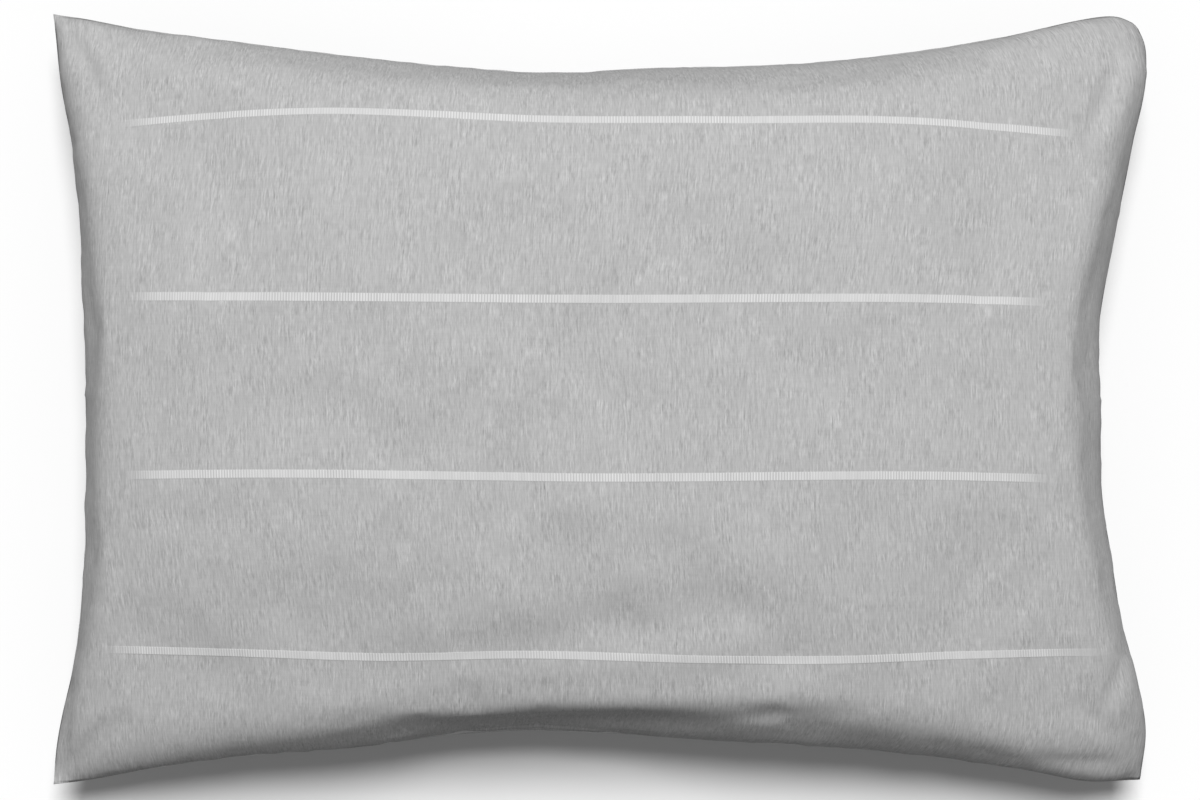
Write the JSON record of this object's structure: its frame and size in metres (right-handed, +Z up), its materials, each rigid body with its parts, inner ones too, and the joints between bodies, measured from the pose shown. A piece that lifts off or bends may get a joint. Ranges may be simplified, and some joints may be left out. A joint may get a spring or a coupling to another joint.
{
  "type": "bed pillow",
  "caption": "Filled rectangular bed pillow in a grey cotton pillowcase with woven white stripes; the piped fibre insert slides out of the case's envelope closure.",
  "frame": {"origin": "on the surface the pillow lies on, under the middle of its length and width", "axes": "+Z up through the front panel, +X along the length towards the envelope closure, +Y across the width"},
  "size_m": [0.6692, 0.4697, 0.165],
  "materials": {
    "case_cloth": "matt plain-weave cotton with grey slubs and woven white stripes",
    "case_seam": "overlocked cotton seam allowance",
    "case_thread": "polyester sewing thread",
    "label_tape": "blank satin tape",
    "ticking_cloth": "close-woven white cotton ticking",
    "ticking_piping": "cotton-covered cord",
    "ticking_thread": "polyester sewing thread",
    "hollow_fibre": "carded polyester wadding"
  },
  "bodies": {
    "case": {"front_panel": "case_cloth", "back_panel": "case_cloth", "back_hem": "case_cloth", "mouth_fold": "case_cloth", "tuck_flap": "case_cloth", "flap_hem": "case_cloth", "upper_side_seam": "case_seam", "lower_side_seam": "case_seam", "closed_end_seam": "case_seam", "hem_stitching": "case_thread", "flap_stitching": "case_thread", "case_care_label": "label_tape"},
    "insert": {"ticking_top": "ticking_cloth", "ticking_bottom": "ticking_cloth", "ticking_piping": "ticking_piping", "closing_stitches": "ticking_thread", "insert_label": "label_tape", "fibre_fill": "hollow_fibre"}
  },
  "joints": [
    {"name": "insert_slide", "type": "slide", "parent": "case", "child": "insert", "axis": [1, 0, 0], "range_m": [0, 0.7], "deforming": ["front_panel", "back_panel", "back_hem", "mouth_fold", "tuck_flap", "flap_hem", "upper_side_seam", "lower_side_seam", "closed_end_seam", "hem_stitching", "flap_stitching", "case_care_label"]}
  ]
}
